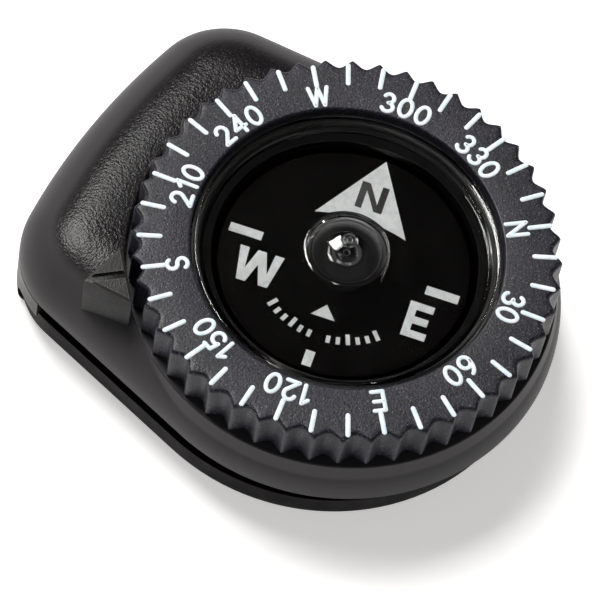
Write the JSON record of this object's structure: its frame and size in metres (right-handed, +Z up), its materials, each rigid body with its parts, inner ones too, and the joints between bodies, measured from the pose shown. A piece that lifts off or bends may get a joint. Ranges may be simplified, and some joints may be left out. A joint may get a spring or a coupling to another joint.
{
  "type": "clip-on micro compass",
  "caption": "Small compass with a fluted rotating bezel and a liquid-filled capsule, on a sprung clip for a strap or hem.",
  "frame": {"origin": "on the bezel's axis, level with the flat underside of the clip", "axes": "+Z up along the bezel's axis; +Y to the clip's closed end, along the longest extent; +X across the body"},
  "size_m": [0.026, 0.0305, 0.0103],
  "materials": {
    "housing_plastic": "fine pebbled grain on the deck, satin sides",
    "bezel_plastic": "fine spark-eroded texture",
    "cup_plastic": "polished",
    "window_clear": "clear, polished",
    "ring_plastic": "smooth moulded",
    "gasket_rubber": "moulded",
    "pin_steel": "ground",
    "hub_plastic": "polished",
    "jewel_stone": "polished",
    "card_black": "satin print",
    "magnet_metal": "sintered",
    "weight_brass": "plain",
    "marking_white": "raised hot-stamped and printed marks"
  },
  "bodies": {
    "housing": {"clip_housing": "housing_plastic", "index_pointer": "housing_plastic", "clip_root": "housing_plastic", "capsule_cup": "cup_plastic", "capsule_gasket": "gasket_rubber", "capsule_window": "window_clear", "fill_plug": "cup_plastic", "pivot_pin": "pin_steel", "bezel_snap_ring": "ring_plastic"},
    "bezel": {"bezel_ring": "bezel_plastic"},
    "card": {"compass_card": "card_black", "card_hub": "hub_plastic", "jewel_bearing": "jewel_stone", "card_magnet": "magnet_metal", "balance_weight": "weight_brass"},
    "jaw": {"clip_plate": "housing_plastic"}
  },
  "joints": [
    {"name": "bezel_spin", "type": "hinge", "parent": "housing", "child": "bezel", "pos_m": [0, 0, 0.0082], "axis": [0, 0, 1], "continuous": true},
    {"name": "card_spin", "type": "hinge", "parent": "housing", "child": "card", "pos_m": [0, 0, 0.0071], "axis": [0, 0, 1], "continuous": true},
    {"name": "clip_flex", "type": "hinge", "parent": "housing", "child": "jaw", "pos_m": [0, 0.01445, 0.00105], "axis": [1, 0, 0], "range_deg": [0, 6], "stiffness_Nm_per_rad": 0.3, "springref_deg": -1.72}
  ]
}
